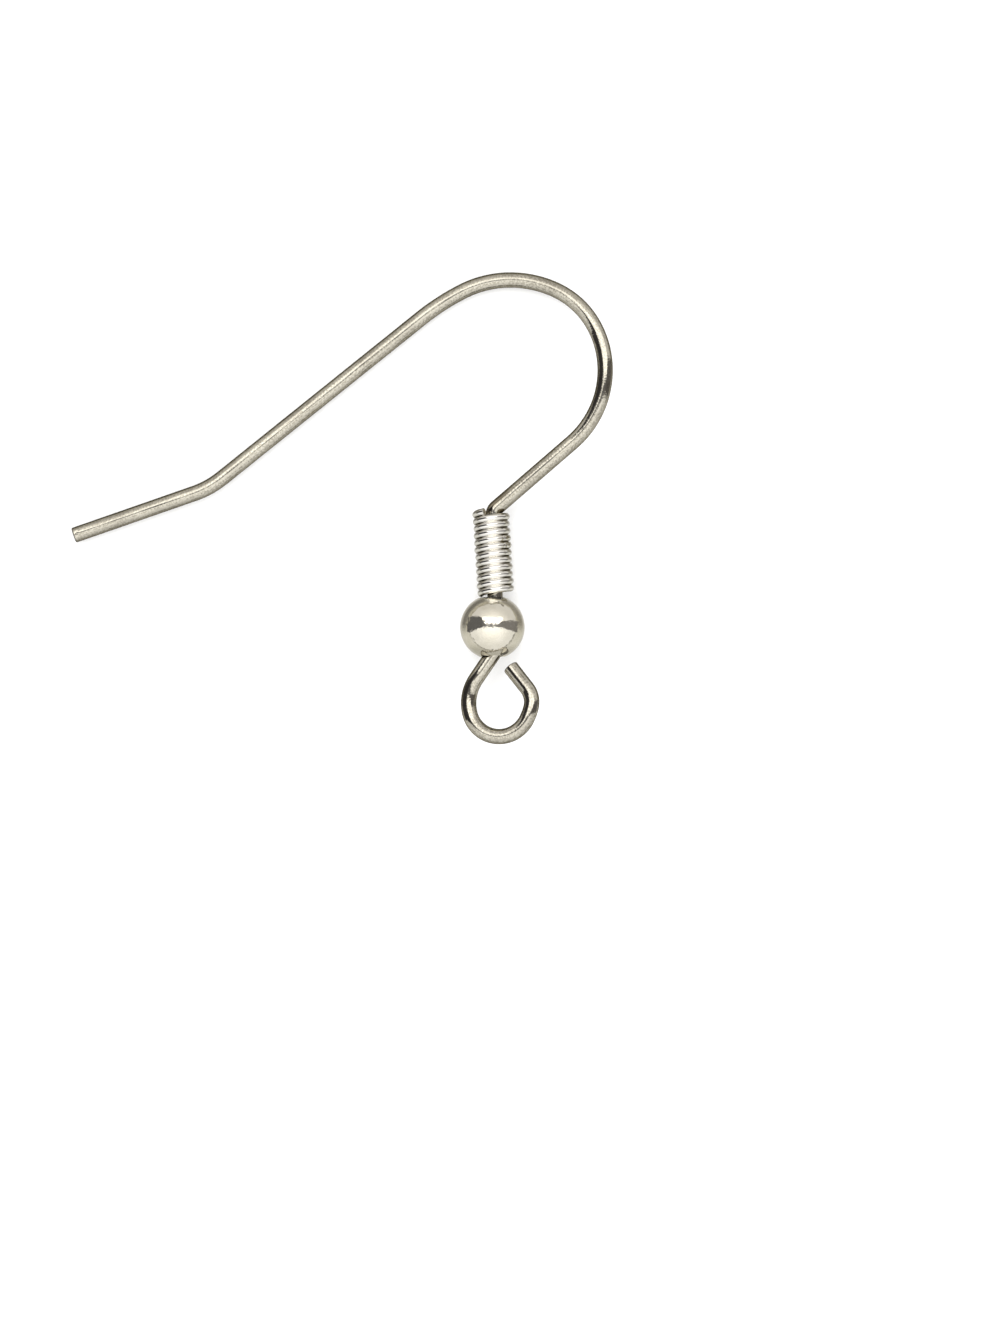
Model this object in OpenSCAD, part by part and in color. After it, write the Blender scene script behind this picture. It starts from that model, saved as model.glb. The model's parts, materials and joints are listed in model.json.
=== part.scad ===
/* [Wire] */
// Diameter of the hook's wire
wire_d = 0.72; // [0.5:0.01:0.9]
// Chamfer round the wire's two cut ends
cut_chamfer = 0.05; // [0.02:0.01:0.1]

/* [Tail and long leg] */
// Straight run at the free end, which goes through the ear
tail_l = 5.95; // [3:0.05:10]
// Angle between the tail and the long leg
tail_turn = 19.7; // [5:0.1:40]
// Inside radius of the bend between the tail and the long leg
tail_bend_r = 4; // [1:0.1:8]
// Straight run of the long leg, behind the ear
leg_l = 11.9; // [7:0.1:18]

/* [Arch and front leg] */
// Inside diameter of the arch over the ear lobe
arch_d = 8.1; // [6:0.1:12]
// Straight run of the front leg, from the arch down to the neck
front_l = 4.6; // [3:0.1:8]
// Angle between the front leg and the neck
neck_turn = 50.9; // [35:0.1:65]
// Inside radius of the sharp bend above the coil
neck_bend_r = 0.1; // [0.05:0.01:0.4]
// Lean of the neck from the Y axis
neck_lean = 1.3; // [-5:0.1:5]

/* [Coil] */
// Diameter of the coil's wire
coil_wire_d = 0.32; // [0.2:0.01:0.4]
// Turns of the coil
coil_turns = 11.2; // [6:0.1:16]
// Gap between one turn and the next
turn_gap = 0.014; // [0.01:0.001:0.1]
// Clearance of the coil on the neck, on the diameter
coil_play = 0.34; // [0.2:0.01:0.5]
// How far the coil's upper end stands past the lower end of the sharp bend
coil_rise = 0.29; // [0.1:0.01:0.4]

/* [Bead] */
// Diameter of the bead
bead_d = 3; // [2.4:0.1:4]
// Clearance in the bore, on each side of the wire and its bend
bore_clearance = 0.08; // [0.04:0.01:0.2]
// Chamfer round the bore's two mouths
mouth_chamfer = 0.04; // [0.02:0.01:0.1]
// Gap between the coil's lower end and the bead
bead_gap = 0.09; // [0.06:0.01:0.5]

/* [Eye] */
// Inside diameter of the eye
eye_d = 2.12; // [1.6:0.01:3]
// Angle that the wire bends sideways inside the bead, towards the eye
eye_set = 35.7; // [20:0.1:45]
// Inside radius of that bend
eye_set_r = 0.24; // [0.1:0.01:0.5]
// Height of the start of that bend above the bead's lower mouth
eye_set_up = 0.5; // [0.3:0.01:0.8]

/* [Hidden] */
$fn = 96;

wire_r = wire_d / 2;
bead_r = bead_d / 2;

// Facets of the bent wire and of the coil
wire_sides = 16;
wire_facet = 6;
coil_sides = 8;
coil_facets = 20;
// The bent wire starts this far inside the round tail, and is this much slimmer
root_l = 0.3;
root_step = 0.003;

// Arch, from the long leg to the front leg: turn, inside radius as a share of the arch's
ARCH = [
    [11.8, 2.68],
    [55, 1.12],
    [32, 0.885],
    [79.6, 1.005],
];
// Eye, from the bead to the open end: turn, inside radius as a share of the eye's
EYE = [
    [51.6, 1.52],
    [135.6, 1],
    [13.4, 2.1],
    [51.8, 0.69],
];
// Straight runs before and after the eye, as shares of its inside radius
eye_leg_share = 1.38;
eye_end_share = 1.2;

arch_r = arch_d / 2;
eye_r = eye_d / 2;
eye_leg_l = eye_leg_share * eye_r;
eye_end_l = eye_end_share * eye_r;

// Coil: it leans on the neck until part of its play is used up at each end
coil_pitch = coil_wire_d + turn_gap;
coil_l = coil_turns * coil_pitch + coil_wire_d;
coil_r = (wire_d + coil_play + coil_wire_d) / 2;
upper_lean = 0.7;
lower_lean = 0.3;
coil_lean = atan((upper_lean + lower_lean) * coil_play / 2 / coil_l);
// The upper end stops in front of the neck, this far round from the coil's front
coil_end_at = -22;

// Bead: its bore clears the neck on one side and the bent wire at its lower mouth on the other
set_r = eye_set_r + wire_r;
set_l = set_r * sin(eye_set);
mouth_drift = set_r * (1 - cos(eye_set)) + max(0, eye_set_up - set_l) * tan(eye_set);
mouth_reach = mouth_drift + wire_r / cos(eye_set);
bore_d = wire_r + mouth_reach + 2 * bore_clearance;
bead_shift = (mouth_reach - wire_r) / 2;
mouth_d = bore_d + 2 * mouth_chamfer;
bead_l = sqrt(bead_d ^ 2 - mouth_d ^ 2);
bead_from = coil_l - coil_rise + bead_gap;
neck_l = bead_from + bead_l - eye_set_up;

// The wire's centre line as its maker bends it: straight run, turn to the left, inside radius
RUN = 0;
TURN = 1;
INSIDE = 2;
BENDS = concat(
    [[tail_l, tail_turn, tail_bend_r]],
    [for (i = [0 : len(ARCH) - 1]) [i == 0 ? leg_l : 0, -ARCH[i][0], ARCH[i][1] * arch_r]],
    [[front_l, neck_turn, neck_bend_r]],
    [[neck_l, -eye_set, eye_set_r]],
    [for (i = [0 : len(EYE) - 1]) [i == 0 ? eye_leg_l : 0, EYE[i][0], EYE[i][1] * eye_r]]
);
NECK = len(ARCH) + 2;

function sum(v, n, i = 0) = i == n ? 0 : v[i] + sum(v, n, i + 1);
tail_heading = neck_lean - 90 - sum([for (b = BENDS) b[TURN]], NECK);

// A state is x, y and heading. Each function goes on from the state that it is given.
function ahead(s, d) = [s[0] + d * cos(s[2]), s[1] + d * sin(s[2]), s[2]];
function turned(s, turn, r) =
    let (side = sign(turn) * r)
    [
        s[0] + side * (sin(s[2] + turn) - sin(s[2])),
        s[1] - side * (cos(s[2] + turn) - cos(s[2])),
        s[2] + turn,
    ];
function after(s, row) = turned(ahead(s, row[RUN]), row[TURN], row[INSIDE] + wire_r);
function state(n) = n == 0 ? [0, 0, tail_heading] : after(state(n - 1), BENDS[n - 1]);

// States along the centre line, from one row to the end, with the bends in steps
function traced(s, i) =
    i == len(BENDS) ? [ahead(s, eye_end_l - cut_chamfer), ahead(s, eye_end_l)] :
    let (
        row = BENDS[i],
        start = ahead(s, row[RUN]),
        steps = ceil(abs(row[TURN]) / wire_facet)
    )
    concat(
        row[RUN] > 0 ? [start] : [],
        [for (k = [1 : steps]) turned(start, row[TURN] * k / steps, row[INSIDE] + wire_r)],
        traced(after(s, row), i + 1)
    );
TRACE = concat([ahead(state(0), tail_l - root_l)], traced(state(0), 0));

// Lying on a table: the tail's tip and the arch's shoulder touch it, and the bead props up the rest
neck_start = state(NECK);
bead_at =
    let (s = ahead(neck_start, bead_from + bead_l / 2))
    [s[0] + bead_shift * sin(s[2]), s[1] - bead_shift * cos(s[2])];
touch_line = max([for (s = TRACE) atan2(s[1], s[0])]);
along = [cos(touch_line), sin(touch_line)];
across = [sin(touch_line), -cos(touch_line)];
table_tilt = asin((bead_r - wire_r) / (bead_at * across));

// Place and heading of a state as seen from above, once the hook lies tilted
function seen(v) = (v * along) * along + (v * across) * cos(table_tilt) * across;
function edge(s, axis, way) =
    let (heading = seen([cos(s[2]), sin(s[2])]))
    seen([s[0], s[1]])[axis] + way * wire_r * sqrt(1 - heading[axis] ^ 2);
OUTLINE = concat([state(0)], TRACE);
middle = [for (axis = [0, 1])
    (max([for (s = OUTLINE) edge(s, axis, 1)]) + min([for (s = OUTLINE) edge(s, axis, -1)])) / 2];

module lying() {
    translate([-middle[0], -middle[1], wire_r])
        rotate(a = -table_tilt, v = [along[0], along[1], 0])
            children();
}

// From the lower end of the sharp bend, X runs down the neck
module on_neck() {
    translate([neck_start[0], neck_start[1], 0])
        rotate([0, 0, neck_start[2]])
            children();
}

// A closed tube through rings of points, each ring anticlockwise seen from the tube's far end
module tube(rings) {
    n = len(rings[0]);
    last = len(rings) - 1;
    polyhedron(
        points = [for (ring = rings) each ring],
        faces = concat(
            [[for (k = [0 : n - 1]) k]],
            [for (i = [0 : last - 1], k = [0 : n - 1])
                [i * n + k, (i + 1) * n + k, (i + 1) * n + (k + 1) % n, i * n + (k + 1) % n]],
            [[for (k = [n - 1 : -1 : 0]) last * n + k]]
        )
    );
}

function ring(centre, side, up, r, n) =
    [for (k = [0 : n - 1]) centre + r * (cos(360 * k / n) * side + sin(360 * k / n) * up)];

// Wire of the hook: a round tail, then one tube through the arch, the neck and the open eye
module ear_hook() {
    last = len(TRACE) - 1;
    color([0.72, 0.70, 0.63]) lying() {
        rotate([0, 0, tail_heading]) rotate([0, 90, 0]) {
            cylinder(h = cut_chamfer, r1 = wire_r - cut_chamfer, r2 = wire_r);
            translate([0, 0, cut_chamfer]) cylinder(h = tail_l - cut_chamfer, r = wire_r);
        }
        tube([for (i = [0 : last])
            ring(
                [TRACE[i][0], TRACE[i][1], 0],
                [-sin(TRACE[i][2]), cos(TRACE[i][2]), 0],
                [0, 0, 1],
                wire_r - root_step - (i == last ? cut_chamfer : 0),
                wire_sides
            )]);
    }
}

// Close-wound coil, right-handed, strung loosely on the neck. It is wound from its upper end down.
module wire_coil() {
    steps = ceil(coil_turns * coil_facets);
    slope = atan(coil_pitch / (360 * coil_r * PI / 180));
    color([0.86, 0.85, 0.80]) lying() on_neck()
        translate([-coil_rise, -upper_lean * coil_play / 2, 0])
            rotate([0, 0, coil_lean])
                tube([for (i = [0 : steps])
                    let (
                        turn = 360 * coil_turns * i / steps,
                        at = coil_end_at - turn,
                        out = [0, sin(at), cos(at)],
                        round_it = [0, cos(at), -sin(at)]
                    )
                    ring(
                        [coil_wire_d / 2 + coil_pitch * turn / 360, 0, 0] + coil_r * out,
                        out,
                        [cos(slope), 0, 0] + sin(slope) * round_it,
                        coil_wire_d / 2,
                        coil_sides
                    )]);
}

// Ball bead with a straight bore and chamfered mouths, turned from its half section
module ball_bead() {
    color([0.84, 0.82, 0.74]) lying() on_neck()
        translate([bead_from + bead_l / 2, -bead_shift, 0])
            rotate([0, 90, 0])
                rotate_extrude()
                    difference() {
                        circle(r = bead_r);
                        translate([bore_d / 2 - bead_d, -bead_d]) square([bead_d, 2 * bead_d]);
                        for (end = [-1, 1])
                            translate([bore_d / 2, end * bead_l / 2])
                                rotate(45)
                                    square(2 * mouth_chamfer / sqrt(2), center = true);
                    }
}

ear_hook();
wire_coil();
ball_bead();
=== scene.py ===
import json

import bpy
import numpy as np
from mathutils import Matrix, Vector


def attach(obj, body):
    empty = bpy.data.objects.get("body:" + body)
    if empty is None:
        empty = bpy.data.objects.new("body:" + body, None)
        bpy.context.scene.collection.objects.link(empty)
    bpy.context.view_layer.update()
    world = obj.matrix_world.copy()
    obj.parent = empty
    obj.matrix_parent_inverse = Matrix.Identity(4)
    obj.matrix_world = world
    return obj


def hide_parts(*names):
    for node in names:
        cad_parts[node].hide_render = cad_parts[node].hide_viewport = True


print("Loading the packed ear wire")
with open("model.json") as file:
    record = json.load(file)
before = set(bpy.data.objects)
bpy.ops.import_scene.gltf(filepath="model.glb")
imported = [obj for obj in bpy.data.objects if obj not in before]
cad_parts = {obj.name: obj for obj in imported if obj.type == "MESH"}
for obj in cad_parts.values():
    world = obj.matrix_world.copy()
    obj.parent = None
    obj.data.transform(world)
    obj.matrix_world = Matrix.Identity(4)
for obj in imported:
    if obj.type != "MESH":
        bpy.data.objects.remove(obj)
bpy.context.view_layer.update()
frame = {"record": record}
mm = 0.001
mounts = {m["name"]: m for m in frame["record"]["mounts"]}

# Hook: lengths in mm, turns in degrees. An arch or eye row is a turn and the share of its inside radius.
hook = {
    "wireDiameter": 0.72,
    "tailRun": 5.95, "tailTurn": 19.7, "tailInside": 4.0,
    "legRun": 11.9,
    "archInside": 4.05,
    "arch": [(11.8, 2.68), (55, 1.12), (32, 0.885), (79.6, 1.005)],
    "frontRun": 4.6, "kinkTurn": 50.9, "kinkInside": 0.1,
    "setTurn": 35.7, "setInside": 0.24, "setUp": 0.5,   # bend inside the bead, so far up from its lower mouth
    "eyeInside": 1.06,
    "eyeLegShare": 1.38, "eyeEndShare": 1.2,            # straight runs beside the eye, to its inside radius
    "eye": [(51.6, 1.52), (135.6, 1), (13.4, 2.1), (51.8, 0.69)],
    # Bent by hand, so not quite flat: a length from the tail's tip, and the extra rise there
    "rise": [
        (24.45, 0), (25.15, 0.09), (29.75, 0.09), (31.65, 0), (34.65, -0.087), (38.95, -0.087), (39.75, 0),
        (47.25, 0), (47.75, -0.16), (48.65, 0.05), (49.35, 0.13), (51.85, 0.13), (52.85, 0), (53.75, -0.19),
        (55.55, -0.23)],
    "cutEdge": 0.05,                    # rounding of the cut ends' edge
    "shearRidge": 0.02,                 # height of the ridge that the cutter leaves across an end
    # Pinch mark of the cutter: mm from the tip and degrees round the wire, then its sizes along and round it
    "nickAt": (0.15, 92), "nickSize": (0.09, 0.13), "nickDepth": 0.03,
    "ringStep": 0.07, "ringTurn": 1.5,
    "around": 64,
}

# Coil: strung loosely on the neck, and leaning on it
coil = {
    "wireDiameter": 0.32,
    "turns": 11.2,
    "turnGap": 0.014,
    "play": 0.34,                       # its inside is so much wider than the neck
    "rise": 0.29,                       # its upper end stands so far above the neck's start
    # How far each end leans aside, as a share of half the play
    "upperLean": 0.7, "lowerLean": 0.3,
    "endAt": -22,                       # upper end, in degrees round the neck
    "squeeze": 1.03,                    # the turns touch, and each one is this much wider than its place
    # Unevenness of the turns, as waves: how often for each radian of turn, its share and its start
    "wander": 0.008, "waves": [(1 / 2.3, 1, 0), (1 / 5.1, 0.6, 2), (1.7, 0.5, 1)],
    "slideShare": 0.5, "slideWave": 1 / 9,
    "cutEdge": 0.03,
    "shearRidge": 0.01,
    "stepsPerTurn": 90,
    "around": 28,
}

bead = {
    "diameter": 3.0,
    "boreClearance": 0.08,              # on each side of the wire and its bend
    "lip": 0.04,                        # rounded lip of the bore's mouths
    "gap": 0.09,                        # between the coil and the bead
    "around": 144,
    "arcSteps": 110, "lipSteps": 8, "boreSteps": 12,
}


def makeMesh(name, rings, straight, cutFace, loop=False):
    # Joins neighbouring rings of points with quads. In a loop the last ring joins the first, and otherwise a
    # fan to the middle of the first and of the last ring closes each end. For the finish, each point keeps
    # its place on the straightened wire and its share of a cut face.
    n, m = rings.shape[:2]
    points = rings.reshape(-1, 3)
    i = np.arange(n if loop else n - 1)[:, None]
    k = np.arange(m)[None, :]
    this, other = i * m, (i + 1) % n * m
    quads = np.stack([this + k, other + k, other + (k + 1) % m, this + (k + 1) % m], axis=-1)
    faces = quads.reshape(-1, 4).tolist()
    if not loop:
        points = np.concatenate([points, rings[[0, -1]].mean(axis=1)])
        straight = np.concatenate([straight.reshape(-1, 3), straight[[0, -1]].mean(axis=1)])
        cutFace = np.concatenate([cutFace.reshape(-1), cutFace[[0, -1]].mean(axis=1)])
        k = np.arange(m)
        first = np.stack([k, (k + 1) % m, np.full(m, n * m)], axis=-1)
        last = np.stack([(n - 1) * m + (k + 1) % m, (n - 1) * m + k, np.full(m, n * m + 1)], axis=-1)
        faces += first.tolist() + last.tolist()
    mesh = bpy.data.meshes.new(name)
    mesh.from_pydata(points.reshape(-1, 3).tolist(), [], faces)
    mesh.attributes.new("straightWire", "FLOAT_VECTOR", "POINT").data.foreach_set("vector", straight.ravel())
    mesh.attributes.new("cutFace", "FLOAT", "POINT").data.foreach_set("value", cutFace.ravel())
    mesh.shade_smooth()
    piece = bpy.data.objects.new(name, mesh)
    bpy.context.scene.collection.objects.link(piece)
    return piece


def alongStretches(lengths, turns, s):
    # Place and heading at the length s of a line made of stretches. A stretch of length L that turns by t has
    # the chord L sin(t / 2) / (t / 2), which leans half the turn from its start. A straight one has no turn.
    def chord(length, turn, heading):
        reach = length * np.sinc(turn / 2 / np.pi)
        lean = heading + turn / 2
        return np.stack([reach * np.cos(lean), reach * np.sin(lean)], axis=-1)
    starts = np.concatenate([[0], np.cumsum(lengths)])
    headings = np.concatenate([[0], np.cumsum(turns)])
    places = np.concatenate([np.zeros((1, 2)), np.cumsum(chord(lengths, turns, headings[:-1]), axis=0)])
    i = np.clip(np.searchsorted(starts, s, side="right") - 1, 0, len(lengths) - 1)
    share = (s - starts[i]) / lengths[i]
    xy = places[i] + chord(share * lengths[i], share * turns[i], headings[i])
    return xy, headings[i] + share * turns[i]


# Cut ends of a wire. The two distances are shares of the edge's rounding.
cutEnd = {
    "steps": 7,                         # rings in the face, and in the rounded edge
    "clear": 1.2,                       # so far from the end, the wire's own rings start
    "faceStop": 0.02,                   # so far inside the wire's radius, the cut face stops
}


def endProfile(radius, edge, ridge):
    # Radius and depth of the rings that make a cut end, from its middle out: a flat face, then a quarter
    # circle of the edge's radius. The ridge falls evenly from the middle to the edge.
    steps = cutEnd["steps"]
    face = np.linspace(0, 1, steps + 1)[1:] * (radius - edge)
    turn = np.linspace(0, np.pi / 2, steps)[1:]
    radii = np.concatenate([face, radius - edge + edge * np.sin(turn)])
    depths = np.concatenate([np.zeros(steps), edge * (1 - np.cos(turn))])
    ridges = np.concatenate([ridge * (1 - face / face[-1]), np.zeros(steps - 1)])
    return radii, depths, ridges


def cutRings(s, total, radius, edge, ridge, around):
    # Length, radius, ridge height and cut-face share of each ring of a wire, from one cut end to the other,
    # and the angles of a ring's points
    radii, depths, ridges = endProfile(radius, edge, ridge)
    clear = edge * cutEnd["clear"]
    inner = s[(s > clear) & (s < total - clear)]
    lengths = np.concatenate([depths, inner, total - depths[::-1]])
    allRadii = np.concatenate([radii, np.full(len(inner), radius), radii[::-1]])
    ridgeHeights = np.concatenate([-ridges, np.zeros(len(inner)), ridges[::-1]])
    cut = (allRadii < radius - edge * cutEnd["faceStop"]).astype(float)
    angle = 2 * np.pi * np.arange(around) / around
    return lengths, allRadii, ridgeHeights, cut, angle


def wireTube(name, centre, side, up, forward, lengths, radii, ridges, cut, angle, dent=0.0):
    # A ring's point lies at centre + (r - dent) (cos a side + sin a up). On a cut end it is pushed out along
    # the wire by the ridge's height times sin(a) squared, so that the ridge runs across the end.
    c, s = np.cos(angle)[None, :, None], np.sin(angle)[None, :, None]
    r = (radii[:, None] - dent)[:, :, None]
    push = ridges[:, None, None] * s ** 2
    rings = centre[:, None] + r * (c * side[:, None] + s * up[:, None]) + push * forward[:, None]
    a = np.broadcast_to(lengths[:, None], (len(lengths), len(angle)))
    straight = np.stack([a, radii[:, None] * np.cos(angle), radii[:, None] * np.sin(angle)], axis=-1)
    cutFace = np.repeat(cut[:, None], len(angle), axis=1)
    return makeMesh(name, rings, straight, cutFace)


print("Placing the hook's plane")
# The tail's mount gives the line of the tail, and the eye's mount stands square to the plane of the bends
up = np.array(mounts["drop_eye"]["axis"], float)
up /= np.linalg.norm(up)
ahead = -np.array(mounts["tail_pin"]["axis"], float)
ahead -= up * (ahead @ up)
ahead /= np.linalg.norm(ahead)
plane = np.stack([ahead, np.cross(up, ahead), up])
tailMiddle = np.array(mounts["tail_pin"]["pos_m"], float) / mm
tip = tailMiddle - ahead * (mounts["tail_pin"]["dims"]["length_mm"] / 2 + hook["cutEdge"])


def place(points):
    # From the hook's plane, in mm, to the frame, in metres
    return (tip + points @ plane) * mm


# Sizes that follow from the dictionaries
wireRadius = hook["wireDiameter"] / 2
coilRadius = (hook["wireDiameter"] + coil["play"] + coil["wireDiameter"]) / 2
coilPitch = coil["wireDiameter"] + coil["turnGap"]
coilLength = coil["turns"] * coilPitch + coil["wireDiameter"]
wirePerTurn = np.hypot(2 * np.pi * coilRadius, coilPitch)
coilEnd = np.radians(coil["endAt"])
setRadius = hook["setInside"] + wireRadius
setTurn = np.radians(hook["setTurn"])
setRise = setRadius * np.sin(setTurn)
mouthDrift = setRadius * (1 - np.cos(setTurn)) + (hook["setUp"] - setRise) * np.tan(setTurn)
mouthReach = mouthDrift + wireRadius / np.cos(setTurn)
boreRadius = (wireRadius + mouthReach) / 2 + bead["boreClearance"]
mouthRadius = boreRadius + bead["lip"]
beadLength = 2 * np.sqrt((bead["diameter"] / 2) ** 2 - mouthRadius ** 2)
beadFrom = coilLength - coil["rise"] + bead["gap"]
beadShift = (mouthReach - wireRadius) / 2
neckRun = beadFrom + beadLength - hook["setUp"]


def hookStretches():
    # The hook as its maker bends it: a straight run, then a turn at the wire's centre, and so on
    rows = [(hook["tailRun"], hook["tailTurn"], hook["tailInside"]), (hook["legRun"], 0, 0)]
    rows += [(0, -turn, share * hook["archInside"]) for turn, share in hook["arch"]]
    rows += [(hook["frontRun"], hook["kinkTurn"], hook["kinkInside"])]
    neckAt = len(rows)
    rows += [(neckRun, -hook["setTurn"], hook["setInside"])]
    rows += [(hook["eyeLegShare"] * hook["eyeInside"], 0, 0)]
    rows += [(0, turn, share * hook["eyeInside"]) for turn, share in hook["eye"]]
    rows += [(hook["eyeEndShare"] * hook["eyeInside"], 0, 0)]
    stretches = []
    neckStart = 0
    for i, (run, turn, inside) in enumerate(rows):
        bend = abs(np.radians(turn)) * (inside + wireRadius)
        stretches += [(run, 0)] if run > 0 else []
        stretches += [(bend, np.radians(turn))] if turn != 0 else []
        neckStart += (run + bend) * (i < neckAt)
    lengths, turns = np.array(stretches, float).T
    return lengths, turns, neckStart


def makeHook():
    # A round wire whose middle follows the stretches, with rings closer together in the bends
    lengths, turns, _ = hookStretches()
    starts = np.concatenate([[0], np.cumsum(lengths)])
    degrees = np.abs(np.degrees(turns))
    counts = np.ceil(np.maximum(lengths / hook["ringStep"], degrees / hook["ringTurn"])).astype(int)
    s = np.concatenate([a + np.arange(n) / n * l for a, n, l in zip(starts, counts, lengths)])
    at, radii, ridges, cut, angle = cutRings(
        s, starts[-1], wireRadius, hook["cutEdge"], hook["shearRidge"], hook["around"])
    xy, heading = alongStretches(lengths, turns, at)
    c, s = np.cos(heading), np.sin(heading)
    # The height out of the plane is the sum of the rise along the length
    rise = np.interp(at, *np.array(hook["rise"], float).T)
    height = np.concatenate([[0], np.cumsum((rise[1:] + rise[:-1]) / 2 * np.diff(at))])
    centre = np.stack([xy[:, 0], xy[:, 1], height], axis=-1)
    forward = np.stack([c, s, rise], axis=-1) / np.hypot(1, rise)[:, None]
    side = np.stack([-s, c, 0 * s], axis=-1)
    upward = np.cross(forward, side)
    # The nick is a bell-shaped hollow: its depth falls off with the squared distance along and round the wire
    nickAt, nickTurn = hook["nickAt"]
    nickLong, nickWide = hook["nickSize"]
    fromNick = np.mod(angle - np.radians(nickTurn) + np.pi, 2 * np.pi) - np.pi
    away = ((at - nickAt) / nickLong)[:, None] ** 2 + (wireRadius * fromNick / nickWide)[None] ** 2
    dent = hook["nickDepth"] * np.exp(-away)
    return wireTube(
        "ear_hook_wire", place(centre), side @ plane * mm, upward @ plane * mm, forward @ plane * mm,
        at, radii, ridges, cut, angle, dent)


def neckFrame():
    # Start of the neck and its axes: down the neck, to its left, and up out of the hook's plane
    lengths, turns, neckStart = hookStretches()
    justPast = 1e-9                     # so that the heading is the neck's own, and not the kink's
    xy, heading = alongStretches(lengths, turns, np.array([neckStart + justPast]))
    c, s = np.cos(heading[0]), np.sin(heading[0])
    return np.array([xy[0, 0], xy[0, 1], 0]), np.array([[c, s, 0], [-s, c, 0], [0, 0, 1]])


def makeCoil():
    # A helix: the centre goes round at the coil's radius, and moves down by the pitch for each full turn
    origin, axes = neckFrame()
    total = 2 * np.pi * coil["turns"]
    s = np.linspace(0, coil["turns"], int(coil["turns"] * coil["stepsPerTurn"])) * wirePerTurn
    at, radii, ridges, cut, angle = cutRings(
        s, s[-1], coilPitch / 2 * coil["squeeze"], coil["cutEdge"], coil["shearRidge"], coil["around"])
    turn = at / s[-1] * total
    where = coilEnd - turn
    zero = np.zeros(len(at))
    out = np.stack([zero, np.sin(where), np.cos(where)], axis=-1)
    roundIt = np.stack([zero, -np.cos(where), np.sin(where)], axis=-1)
    down = np.array([1.0, 0, 0])
    waves = sum(share * np.sin(often * turn + start) for often, share, start in coil["waves"])
    uneven = coil["wander"] * waves
    slide = coil["slideShare"] * uneven * np.sin(coil["slideWave"] * turn)
    along = coil["wireDiameter"] / 2 + coilPitch * turn / 2 / np.pi + slide
    centre = along[:, None] * down + (coilRadius + uneven)[:, None] * out
    slope = np.arctan(coilPitch / (2 * np.pi * coilRadius))
    forward = np.cos(slope) * roundIt + np.sin(slope) * down
    across = np.cos(slope) * down - np.sin(slope) * roundIt
    # The coil leans in its play: its upper end to one side of the neck, and its lower end to the other
    lean = np.arctan((coil["upperLean"] + coil["lowerLean"]) * coil["play"] / 2 / coilLength)
    tilt = np.array([[np.cos(lean), np.sin(lean), 0], [-np.sin(lean), np.cos(lean), 0], [0, 0, 1]])
    shift = np.array([-coil["rise"], -coil["upperLean"] * coil["play"] / 2, 0])
    turned = tilt @ axes @ plane * mm
    return wireTube(
        "coil_wire", place(origin + (centre @ tilt + shift) @ axes), across @ turned, out @ turned,
        forward @ turned, at, radii, ridges, cut, angle)


def makeBead():
    # A half section turned round the bore's axis: the ball's arc, a rounded lip, the bore and the other lip
    origin, axes = neckFrame()
    radius, lip = bead["diameter"] / 2, bead["lip"]
    mouth = np.arcsin(mouthRadius / radius)
    arc = np.linspace(mouth, np.pi - mouth, bead["arcSteps"])
    half = beadLength / 2
    turn = np.linspace(0, np.pi / 2, bead["lipSteps"])[1:]
    lipAcross = boreRadius + lip * (1 - np.sin(turn))
    lipAlong = half - lip * (1 - np.cos(turn))
    bore = np.linspace(-1, 1, bead["boreSteps"])[1:-1] * (half - lip)
    along = np.concatenate([-radius * np.cos(arc), lipAlong, bore[::-1], -lipAlong[::-1]])
    boreWall = np.full(len(bore), boreRadius)
    out = np.concatenate([radius * np.sin(arc), lipAcross, boreWall, lipAcross[::-1]])
    angle = 2 * np.pi * np.arange(bead["around"]) / bead["around"]
    local = np.stack([
        np.broadcast_to(along[:, None], (len(along), len(angle))),
        out[:, None] * np.cos(angle),
        out[:, None] * np.sin(angle)], axis=-1)
    middle = np.array([beadFrom + half, -beadShift, 0])
    rings = place(origin + (local + middle) @ axes)
    return makeMesh("ball_bead_turned", rings, local, np.zeros(local.shape[:2]), loop=True)


print("Making the hook, the coil and the bead")
hookPiece = makeHook()
coilPiece = makeCoil()
beadPiece = makeBead()


def addNode(tree, kind, settings=None, inputs=None):
    # Settings are the node's own properties. An input is a value or another node's output.
    node = tree.nodes.new(kind)
    for name, value in (settings or {}).items():
        setattr(node, name, value)
    for name, value in (inputs or {}).items():
        if isinstance(value, bpy.types.NodeSocket):
            tree.links.new(value, node.inputs[name])
        else:
            node.inputs[name].default_value = value
    return node


def maths(tree, operation, *values):
    node = addNode(tree, "ShaderNodeMath", {"operation": operation}, dict(enumerate(values)))
    return node.outputs[0]


def product(tree, first, *others):
    # All the values multiplied with each other
    for value in others:
        first = maths(tree, "MULTIPLY", first, value)
    return first


def ramp(tree, value, low, high, start=0.0, end=1.0):
    # From start to end as the value goes from low to high, with soft ends
    node = addNode(tree, "ShaderNodeMapRange", {"interpolation_type": "SMOOTHSTEP"}, {
        "Value": value, "From Min": low, "From Max": high, "To Min": start, "To Max": end})
    return node.outputs["Result"]


def fall(tree, value, low, high):
    # From 1 to 0 as the value goes from low to high
    return ramp(tree, value, low, high, 1.0, 0.0)


def noise(tree, spot, scale, detail, roughness):
    node = addNode(tree, "ShaderNodeTexNoise", None, {
        "Vector": spot, "Scale": scale, "Detail": detail, "Roughness": roughness})
    return node.outputs["Fac"]


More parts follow.
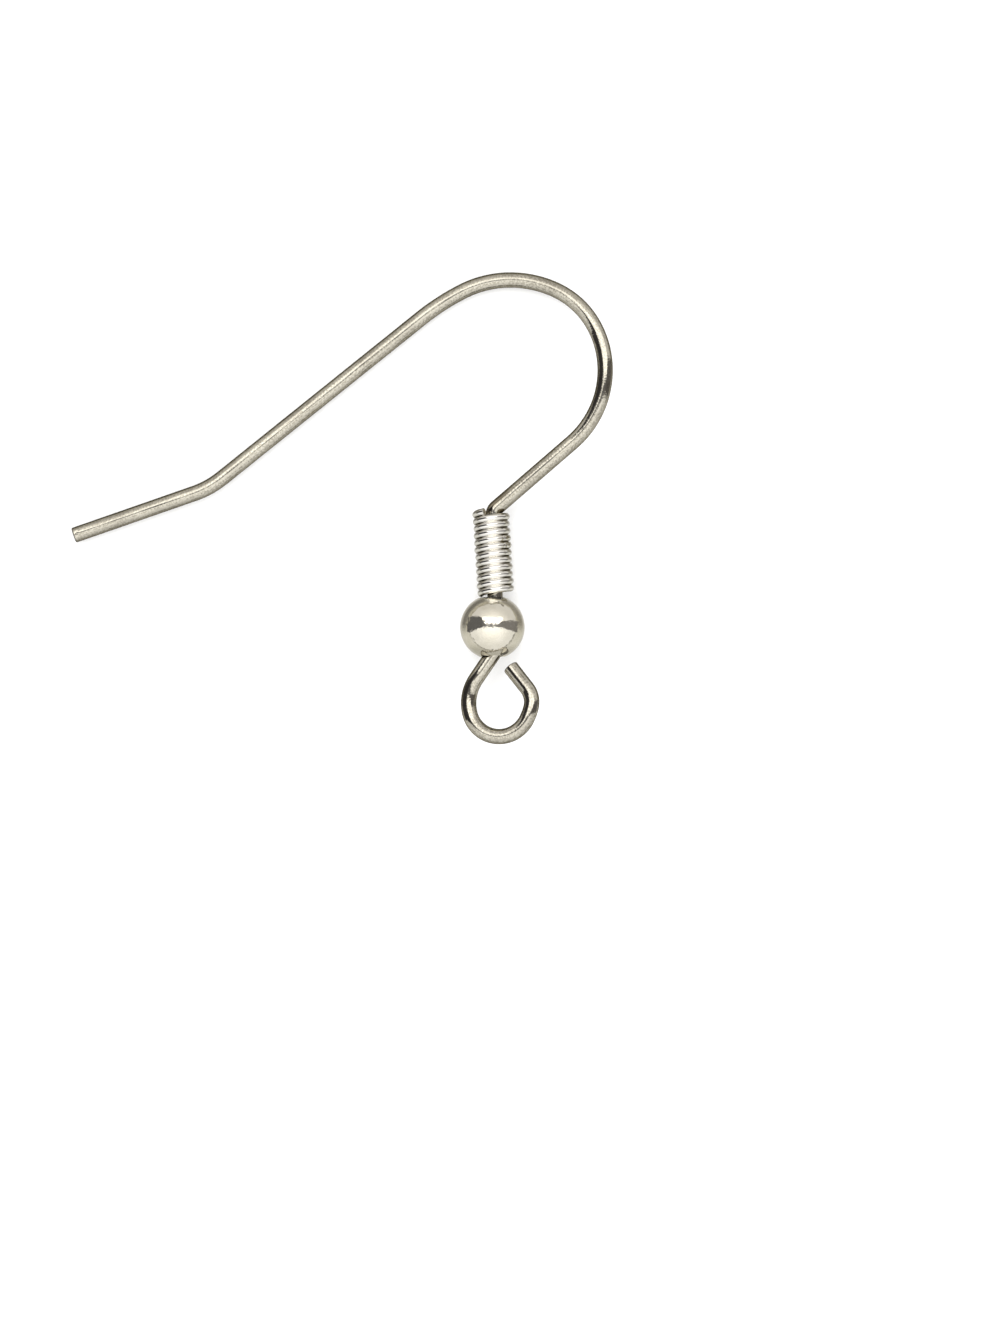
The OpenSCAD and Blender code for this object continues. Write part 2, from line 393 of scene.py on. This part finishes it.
def mixColor(tree, share, first, second, blend="MIX"):
    # First + share (second - first), where the share may be above 1 for a light that is brighter than white.
    # The node's sockets 6 and 7 are its two colours, and its output 2 is the mixed one.
    settings = {"data_type": "RGBA", "blend_type": blend, "clamp_factor": False}
    node = addNode(tree, "ShaderNodeMix", settings, {0: share, 6: first, 7: second})
    return node.outputs[2]


# Shared effects. Each is a node group that takes a place in mm.
effects = {
    "lineDetail": 3.0, "lineRoughness": 0.6, "lineFrom": (0.25, 0.75),
    "grainDetail": 0.0, "grainRoughness": 0.5,
    "markScale": 0.3, "markDetail": 4.0, "markRoughness": 0.7,
    "markFrom": 0.72, "markPerShare": 0.3, "markEdge": 0.08,
    "patchDetail": 5.0, "patchRoughness": 0.65, "patchFrom": (0.35, 0.7),
    "finishFrom": (0.1, 1.4),           # lines and marks together, from the smoothest to the roughest
}


def newGroup(name, inputs, outputs):
    group = bpy.data.node_groups.new(name, "ShaderNodeTree")
    for socket, kind, value in inputs:
        made = group.interface.new_socket(socket, in_out="INPUT", socket_type=kind)
        if value is not None:
            made.default_value = value
    for socket, kind in outputs:
        group.interface.new_socket(socket, in_out="OUTPUT", socket_type=kind)
    return group, addNode(group, "NodeGroupInput").outputs, addNode(group, "NodeGroupOutput").inputs


def drawnLinesGroup():
    # Lines that a drawing die leaves along a wire: noise stretched along the first coordinate
    group, given, made = newGroup(
        "drawnLines",
        [("Place", "NodeSocketVector", None), ("Length", "NodeSocketFloat", 2.0),
         ("Width", "NodeSocketFloat", 0.06)],
        [("Lines", "NodeSocketFloat")])
    across = maths(group, "DIVIDE", 1.0, given["Width"])
    scale = addNode(group, "ShaderNodeCombineXYZ", None, {
        0: maths(group, "DIVIDE", 1.0, given["Length"]), 1: across, 2: across})
    stretched = addNode(group, "ShaderNodeVectorMath", {"operation": "MULTIPLY"}, {
        0: given["Place"], 1: scale.outputs[0]})
    streaks = noise(group, stretched.outputs[0], 1.0, effects["lineDetail"], effects["lineRoughness"])
    group.links.new(ramp(group, streaks, *effects["lineFrom"]), made["Lines"])
    return group


def wearGroup():
    # Fine grain all over, and scattered small marks from handling where a coarser noise is high
    group, given, made = newGroup(
        "wear",
        [("Place", "NodeSocketVector", None), ("Size", "NodeSocketFloat", 0.1),
         ("Share", "NodeSocketFloat", 0.3)],
        [("Grain", "NodeSocketFloat"), ("Marks", "NodeSocketFloat")])
    scale = maths(group, "DIVIDE", 1.0, given["Size"])
    grain = noise(group, given["Place"], scale, effects["grainDetail"], effects["grainRoughness"])
    coarseScale = product(group, scale, effects["markScale"])
    coarse = noise(group, given["Place"], coarseScale, effects["markDetail"], effects["markRoughness"])
    fromShare = product(group, given["Share"], effects["markPerShare"])
    low = maths(group, "SUBTRACT", effects["markFrom"], fromShare)
    high = maths(group, "ADD", low, effects["markEdge"])
    group.links.new(grain, made["Grain"])
    group.links.new(ramp(group, coarse, low, high), made["Marks"])
    return group


def toneGroup():
    # Soft patches of duller metal in the clean one
    group, given, made = newGroup(
        "tone",
        [("Place", "NodeSocketVector", None), ("Patch", "NodeSocketFloat", 1.0),
         ("Clean", "NodeSocketColor", (1, 1, 1, 1)), ("Dull", "NodeSocketColor", (0.5, 0.5, 0.5, 1))],
        [("Color", "NodeSocketColor")])
    scale = maths(group, "DIVIDE", 1.0, given["Patch"])
    patches = noise(group, given["Place"], scale, effects["patchDetail"], effects["patchRoughness"])
    share = ramp(group, patches, *effects["patchFrom"])
    group.links.new(mixColor(group, share, given["Clean"], given["Dull"]), made["Color"])
    return group


drawnLines = drawnLinesGroup()
wear = wearGroup()
tone = toneGroup()


def newMaterial(name, inputs):
    material = bpy.data.materials.new(name)
    material.use_nodes = True
    tree = material.node_tree
    shader = tree.nodes["Principled BSDF"]
    for socket, value in inputs.items():
        shader.inputs[socket].default_value = value
    return material, tree, shader


def useGroup(tree, group, inputs):
    return addNode(tree, "ShaderNodeGroup", {"node_tree": group}, inputs).outputs


def attribute(tree, name, output):
    return addNode(tree, "ShaderNodeAttribute", {"attribute_name": name}).outputs[output]


def metalParts(tree, look):
    # The spot along and across the straightened piece, with its wear and its patches of tone
    spot = attribute(tree, "straightWire", "Vector")
    worn = useGroup(tree, wear, {"Place": spot, "Size": look["wearSize"], "Share": look["wearShare"]})
    toned = useGroup(tree, tone, {
        "Place": spot, "Patch": look["patch"], "Clean": look["clean"], "Dull": look["dull"]})
    return spot, worn, toned["Color"]


def wireParts(tree, look):
    # A wire's spot split into its coordinates, its wear, tone and share of a cut face, and its drawing lines
    spot, worn, toned = metalParts(tree, look)
    split = addNode(tree, "ShaderNodeSeparateXYZ", None, {0: spot}).outputs
    cut = attribute(tree, "cutFace", "Fac")
    lines = useGroup(tree, drawnLines, {
        "Place": spot, "Length": look["lineLength"], "Width": look["lineWidth"]})["Lines"]
    return split, worn, toned, cut, lines


def addBump(tree, shader, look, height):
    bump = addNode(tree, "ShaderNodeBump", None, {"Distance": look["bumpDistance"] * mm, "Height": height})
    tree.links.new(bump.outputs["Normal"], shader.inputs["Normal"])


def addWireFinish(tree, shader, look, lines, worn, cut, relief=0.0):
    # Roughness follows the lines and marks, and is at least the cut's own on a cut face. The bump's height is
    # the sum of the lines, the grain and the relief.
    marked = maths(tree, "ADD", lines, worn["Marks"])
    streaked = ramp(tree, marked, *effects["finishFrom"], *look["roughness"])
    finish = maths(tree, "MAXIMUM", streaked, product(tree, cut, look["cutRoughness"]))
    tree.links.new(finish, shader.inputs["Roughness"])
    lineHeight = product(tree, lines, look["lineHeight"])
    grainHeight = product(tree, worn["Grain"], look["grainHeight"])
    height = maths(tree, "ADD", maths(tree, "ADD", lineHeight, grainHeight), relief)
    addBump(tree, shader, look, height)


hookLook = {
    "clean": (0.65, 0.62, 0.535, 1), "dull": (0.53, 0.50, 0.43, 1), "cut": (0.22, 0.205, 0.18, 1),
    "patch": 1.4, "wearSize": 0.09, "wearShare": 0.35,
    "roughness": (0.02, 0.09), "cutRoughness": 0.42,
    "lineLength": 3.0, "lineWidth": 0.07, "lineHeight": 0.4, "grainHeight": 0.35, "bumpDistance": 0.006,
    "shearLength": 0.6, "shearWidth": 0.035, "shearHeight": 2.0,
    "streakTint": (0.62, 0.61, 0.58, 1), "streakFrom": (0.35, 0.65), "edgeTint": (0.27, 0.25, 0.22, 1),
    # Painted shade at the kink: mm before, past and aside of the kink, then its share by the lines
    "kinkShadeFrom": (-2.2, -0.5), "kinkShadeTo": (0.3, 0.6), "kinkShadeSide": (0.05, 0.16),
    "kinkShadeLines": (0.15, 0.7), "kinkShadeShare": (0.45, 1.0), "kinkShadeTint": (0.42, 0.37, 0.30, 1),
}


def kinkShadeShare(tree, split, lines):
    # Painted shade: darker brown streaks on one side of the wire at the kink. Their share is the product of a
    # rise before the kink, a fall past it, the shaded side, and the lines.
    pastKink = maths(tree, "SUBTRACT", split[0], hookStretches()[2])
    fromSide = maths(tree, "MULTIPLY", split[1], -1.0)
    return product(
        tree,
        ramp(tree, pastKink, *hookLook["kinkShadeFrom"]),
        fall(tree, pastKink, *hookLook["kinkShadeTo"]),
        ramp(tree, fromSide, *hookLook["kinkShadeSide"]),
        ramp(tree, lines, *hookLook["kinkShadeLines"], *hookLook["kinkShadeShare"]))


def shearRelief(tree, split, cut):
    # Shear lines across a cut end: drawing lines that run across the wire, on the cut face alone
    across = addNode(tree, "ShaderNodeCombineXYZ", None, {0: split[1], 1: split[2], 2: split[0]})
    sheared = useGroup(tree, drawnLines, {
        "Place": across.outputs[0], "Length": hookLook["shearLength"], "Width": hookLook["shearWidth"]})
    return product(tree, sheared["Lines"], cut, hookLook["shearHeight"])


def hookMaterial():
    # The patches of tone times the streaks and the painted shade at the kink, and the cut's own colour on a
    # cut face
    material, tree, shader = newMaterial(
        "drawnWire", {"Metallic": 1.0, "Specular Tint": hookLook["edgeTint"]})
    split, worn, toned, cut, lines = wireParts(tree, hookLook)
    speckle = product(tree, lines, ramp(tree, worn["Grain"], *hookLook["streakFrom"]))
    streaks = mixColor(tree, speckle, (1, 1, 1, 1), hookLook["streakTint"])
    # Painted shade: the wire darkens to a brown by the kink
    streaks = mixColor(tree, kinkShadeShare(tree, split, lines), streaks, hookLook["kinkShadeTint"])
    streaky = mixColor(tree, 1.0, toned, streaks, "MULTIPLY")
    tree.links.new(mixColor(tree, cut, streaky, hookLook["cut"]), shader.inputs["Base Color"])
    addWireFinish(tree, shader, hookLook, lines, worn, cut, shearRelief(tree, split, cut))
    return material


coilLook = {
    "clean": (0.97, 0.955, 0.92, 1), "dull": (0.89, 0.87, 0.82, 1), "cut": (0.45, 0.43, 0.38, 1),
    "patch": 0.9, "wearSize": 0.07, "wearShare": 0.3,
    "roughness": (0.02, 0.07), "cutRoughness": 0.35,
    "lineLength": 1.2, "lineWidth": 0.05, "lineHeight": 0.3, "grainHeight": 0.3, "bumpDistance": 0.0006,
    "tarnishAndShade": (0.30, 0.27, 0.20, 1), "grooveFrom": (0.68, 0.95), "upperSideFrom": (0.70, 0.95),
    "stain": (0.42, 0.37, 0.24, 1), "stainGrain": (0.48, 0.68), "stainFlank": (0.42, 0.6),
    "stainStart": (2.9, 3.9), "stainEnd": (5.3, 6.3),   # in turns from the coil's upper end
}


def coilMaterial():
    material, tree, shader = newMaterial("platedCoil", {"Metallic": 1.0})
    split, worn, toned, cut, lines = wireParts(tree, coilLook)
    # Tarnish and painted shade darken the grooves between the turns, and are left off along the coil's upper
    # side
    toNeighbour = maths(tree, "DIVIDE", maths(tree, "ABSOLUTE", split[1]), coil["wireDiameter"] / 2)
    turn = maths(tree, "DIVIDE", split[0], wirePerTurn)
    where = maths(tree, "MULTIPLY_ADD", turn, -2 * np.pi, coilEnd)
    awayFromTop = fall(tree, maths(tree, "COSINE", where), *coilLook["upperSideFrom"])
    groove = product(tree, ramp(tree, toNeighbour, *coilLook["grooveFrom"]), awayFromTop)
    # Painted shade with the tarnish: the grooves take the dark tone
    grooveDarkened = mixColor(tree, groove, toned, coilLook["tarnishAndShade"])
    # A few turns are stained in specks on the flank that faces the hook's outside
    stain = product(
        tree,
        ramp(tree, turn, *coilLook["stainStart"]),
        fall(tree, turn, *coilLook["stainEnd"]),
        ramp(tree, maths(tree, "SINE", where), *coilLook["stainFlank"]),
        ramp(tree, worn["Grain"], *coilLook["stainGrain"]))
    stained = mixColor(tree, stain, grooveDarkened, coilLook["stain"])
    tree.links.new(mixColor(tree, cut, stained, coilLook["cut"]), shader.inputs["Base Color"])
    addWireFinish(tree, shader, coilLook, lines, worn, cut)
    return material


beadLook = {
    "clean": (0.87, 0.83, 0.725, 1), "dull": (0.78, 0.74, 0.625, 1),
    "patch": 1.1, "wearSize": 0.09, "wearShare": 0.3,
    "roughness": (0.03, 0.09), "metallic": 0.95,
    "grainHeight": 0.4, "bumpDistance": 0.011,
}


def beadMaterial():
    # Even plating, which is duller where it has handling marks
    material, tree, shader = newMaterial("polishedPlating", {"Metallic": beadLook["metallic"]})
    _, worn, toned = metalParts(tree, beadLook)
    tree.links.new(toned, shader.inputs["Base Color"])
    tree.links.new(ramp(tree, worn["Marks"], 0.0, 1.0, *beadLook["roughness"]), shader.inputs["Roughness"])
    addBump(tree, shader, beadLook, product(tree, worn["Grain"], beadLook["grainHeight"]))
    return material


print("Giving the pieces their finish")
for piece, material, node, slot in [
        (hookPiece, hookMaterial(), "ear_hook", "hook_wire"),
        (coilPiece, coilMaterial(), "wire_coil", "coil_wire"),
        (beadPiece, beadMaterial(), "ball_bead", "bead_metal")]:
    piece.data.materials.append(material)
    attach(piece, "root")
    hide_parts(node)

# Studio. A mirror ball seen from above shows each direction at its halfway vector to straight up, and the
# soft boxes are given as they lie on such a ball: x to the right and y away, from -1 to 1.
studio = {
    "glow": 1.5,                        # plain light from all round, for the floor
    "softness": 0.025,
    "nearBox": (1.38, 0.84), "nearFade": (0.08, 0.65), "nearTint": (1.0, 0.99, 0.965, 1),
    "farBox": (1.10, 0.66), "farFade": (0.25, 0.66), "farTint": (1.0, 0.97, 0.93, 1),
    "lampTint": (1.95, 1.92, 1.86, 1), "lampWidth": 0.26, "lampFlare": 0.2, "lampFade": (0.25, 0.35),
    # The dark gap between the boxes: its lower edge, then its upper one, then its shades from left to right
    "gapNear": 0.008, "gapBow": -0.33,
    "gapFar": 0.095, "gapNeck": (0.16, 0.39), "gapSides": (0.33, 0.195), "gapSidesFrom": (-0.2, 0.2),
    "gapLeft": (0.050, 0.047, 0.048, 1), "gapRight": (0.15, 0.14, 0.135, 1), "gapTurn": (-0.1, 0.1),
    "gapMiddle": (0.22, 0.215, 0.22, 1), "gapMiddleTo": (0.14, 0.34),
    # Below the horizon the metal mirrors the table, which is dim far off and light close by
    "horizon": (0.695, 0.715), "horizonPastGap": 0.08, "horizonPastCorner": (0.08, 0.30),
    "edge": (0.70, 0.75), "edgeTint": (0.20, 0.19, 0.175, 1),
    "tableTurn": (-0.28, 0.16), "tableAside": (-0.3, 0.3),
    "tableNear": (0.46, 0.45, 0.41, 1), "tableFront": (0.68, 0.67, 0.62, 1), "frontFrom": (-0.75, -0.5),
    "tableLeft": (0.14, 0.132, 0.115, 1), "tableRight": (0.24, 0.225, 0.19, 1),
    "tableBack": (0.43, 0.405, 0.33, 1), "backEdge": (0.79, 0.85),
    "tableClose": (0.62, 0.61, 0.58, 1), "closeBy": (0.90, 1.0),
}


def boxLight(tree, x, y, fromMiddle):
    # Light of the boxes at a place on the ball, and the share of the gap between them
    soft = studio["softness"]
    aside = maths(tree, "ABSOLUTE", x)

    # The two boxes fade towards the horizon, and a lamp glares through the far one
    black = (0, 0, 0, 1)
    nearLight = ramp(tree, fromMiddle, *studio["nearFade"], *studio["nearBox"])
    near = mixColor(tree, nearLight, black, studio["nearTint"])
    farLight = ramp(tree, fromMiddle, *studio["farFade"], *studio["farBox"])
    far = mixColor(tree, farLight, black, studio["farTint"])
    lampEdge = maths(tree, "SUBTRACT", aside, product(tree, y, studio["lampFlare"]))
    lampWidth = studio["lampWidth"]
    lampShare = product(
        tree, fall(tree, y, *studio["lampFade"]), fall(tree, lampEdge, lampWidth - soft, lampWidth + soft))
    far = mixColor(tree, lampShare, far, studio["lampTint"])

    # The gap is narrow in the middle and wide at the sides
    gapNear = maths(tree, "MULTIPLY_ADD", product(tree, x, x), studio["gapBow"], studio["gapNear"])
    gapSide = ramp(tree, x, *studio["gapSidesFrom"], *studio["gapSides"])
    widening = maths(tree, "SUBTRACT", gapSide, studio["gapFar"])
    gapFar = maths(tree, "MULTIPLY_ADD", ramp(tree, aside, *studio["gapNeck"]), widening, studio["gapFar"])
    pastNear = ramp(tree, maths(tree, "SUBTRACT", y, gapNear), -soft, soft)
    pastFar = ramp(tree, maths(tree, "SUBTRACT", y, gapFar), -soft, soft)
    gapEnds = mixColor(tree, ramp(tree, x, *studio["gapTurn"]), studio["gapLeft"], studio["gapRight"])
    gap = mixColor(tree, ramp(tree, aside, *studio["gapMiddleTo"]), studio["gapMiddle"], gapEnds)
    boxes = mixColor(tree, pastFar, mixColor(tree, pastNear, near, gap), far)
    return boxes, maths(tree, "SUBTRACT", pastNear, pastFar)


def tableLight(tree, x, y, fromMiddle):
    # Light of the table at a place on the ball: its back, then its front, its part close by and its dim edge
    backNear = mixColor(
        tree, ramp(tree, x, *studio["tableAside"]), studio["tableLeft"], studio["tableRight"])
    back = mixColor(tree, ramp(tree, fromMiddle, *studio["backEdge"]), studio["tableBack"], backNear)
    front = mixColor(tree, ramp(tree, y, *studio["frontFrom"]), studio["tableNear"], studio["tableFront"])
    table = mixColor(tree, ramp(tree, y, *studio["tableTurn"]), front, back)
    table = mixColor(tree, ramp(tree, fromMiddle, *studio["closeBy"]), table, studio["tableClose"])
    return mixColor(tree, ramp(tree, fromMiddle, *studio["edge"]), studio["edgeTint"], table)


def tableShare(tree, x, y, fromMiddle, inGap):
    # The table shows past the horizon, which lies further out beyond the gap and in the far corners
    horizonAt = maths(tree, "MULTIPLY_ADD", inGap, -studio["horizonPastGap"], fromMiddle)
    cornerReach = ramp(tree, x, *studio["tableAside"], *studio["horizonPastCorner"])
    farCorner = product(tree, maths(tree, "MAXIMUM", y, 0.0), maths(tree, "ABSOLUTE", x), cornerReach)
    return ramp(tree, maths(tree, "SUBTRACT", horizonAt, farCorner), *studio["horizon"])


def makeWorld():
    # Mirrored rays see the studio as it lies on the ball, and all the others see a plain glow
    world = bpy.data.worlds.new("studioWorld")
    bpy.context.scene.world = world
    world.use_nodes = True
    tree = world.node_tree
    direction = addNode(tree, "ShaderNodeTexCoord").outputs["Generated"]
    raised = addNode(tree, "ShaderNodeVectorMath", {"operation": "ADD"}, {0: direction, 1: (0, 0, 1)})
    halfway = addNode(tree, "ShaderNodeVectorMath", {"operation": "NORMALIZE"}, {0: raised.outputs[0]})
    split = addNode(tree, "ShaderNodeSeparateXYZ", None, {0: halfway.outputs[0]})
    x, y = split.outputs[0], split.outputs[1]
    fromMiddle = maths(tree, "SQRT", maths(tree, "MULTIPLY_ADD", y, y, product(tree, x, x)))
    boxes, inGap = boxLight(tree, x, y, fromMiddle)
    table = tableLight(tree, x, y, fromMiddle)
    whole = mixColor(tree, tableShare(tree, x, y, fromMiddle, inGap), boxes, table)
    mirrored = addNode(tree, "ShaderNodeBackground", None, {"Color": whole, "Strength": 1.0})
    plain = addNode(tree, "ShaderNodeBackground", None, {"Color": (1, 1, 1, 1), "Strength": studio["glow"]})
    glossy = addNode(tree, "ShaderNodeLightPath").outputs["Is Glossy Ray"]
    mixed = addNode(tree, "ShaderNodeMixShader", None, {
        0: glossy, 1: plain.outputs[0], 2: mirrored.outputs[0]})
    tree.links.new(mixed.outputs[0], tree.nodes["World Output"].inputs["Surface"])


floorSheet = {"size": 3.0, "tint": (0.96, 0.96, 0.96, 1)}


def makeFloor():
    # A plain pale sheet, which the world stands for in the metal's reflections
    half = floorSheet["size"] / 2
    corners = [(-half, -half, 0), (half, -half, 0), (half, half, 0), (-half, half, 0)]
    mesh = bpy.data.meshes.new("floor")
    mesh.from_pydata(corners, [], [(0, 1, 2, 3)])
    floor = bpy.data.objects.new("floor", mesh)
    bpy.context.scene.collection.objects.link(floor)
    floor.visible_glossy = False
    material, _, _ = newMaterial("paleFloor", {
        "Metallic": 0.0, "Roughness": 1.0, "Specular IOR Level": 0.0, "Base Color": floorSheet["tint"]})
    mesh.materials.append(material)


overhead = {"place": (-0.08, 0.20, 0.40), "size": (0.40, 0.20), "radiance": 2.2, "tint": (1, 0.98, 0.95)}


def makeLamp():
    # A soft lamp that faces the part. Its power is its radiance times pi times its area.
    data = bpy.data.lights.new("overheadLamp", "AREA")
    data.shape = "RECTANGLE"
    data.size, data.size_y = overhead["size"]
    data.energy = overhead["radiance"] * np.pi * data.size * data.size_y
    data.color = overhead["tint"]
    lamp = bpy.data.objects.new("overheadLamp", data)
    lamp.location = overhead["place"]
    lamp.rotation_euler = Vector(overhead["place"]).to_track_quat("Z", "Y").to_euler()
    lamp.visible_camera = False
    lamp.visible_glossy = False
    bpy.context.scene.collection.objects.link(lamp)


view = {"lens": 200, "clip": (0.01, 10), "middle": (7.367, -7.313), "pixelsPerMm": 21.5, "frameHeight": 1330}


def makeCamera():
    # Straight above, so far up that the frame has the wanted pixels per mm at the bead's middle. The sensor's
    # width lies along the frame's height, which is the longer side.
    data = bpy.data.cameras.new("camera")
    data.lens = view["lens"]
    data.clip_start, data.clip_end = view["clip"]
    distance = view["frameHeight"] / view["pixelsPerMm"] / data.sensor_width * data.lens
    x, y = view["middle"]
    camera = bpy.data.objects.new("camera", data)
    camera.location = (x * mm, y * mm, (distance + bead["diameter"] / 2) * mm)
    bpy.context.scene.collection.objects.link(camera)
    bpy.context.scene.camera = camera


print("Setting up the studio")
makeWorld()
makeFloor()
makeLamp()
makeCamera()
bpy.context.scene.view_settings.view_transform = "Standard"
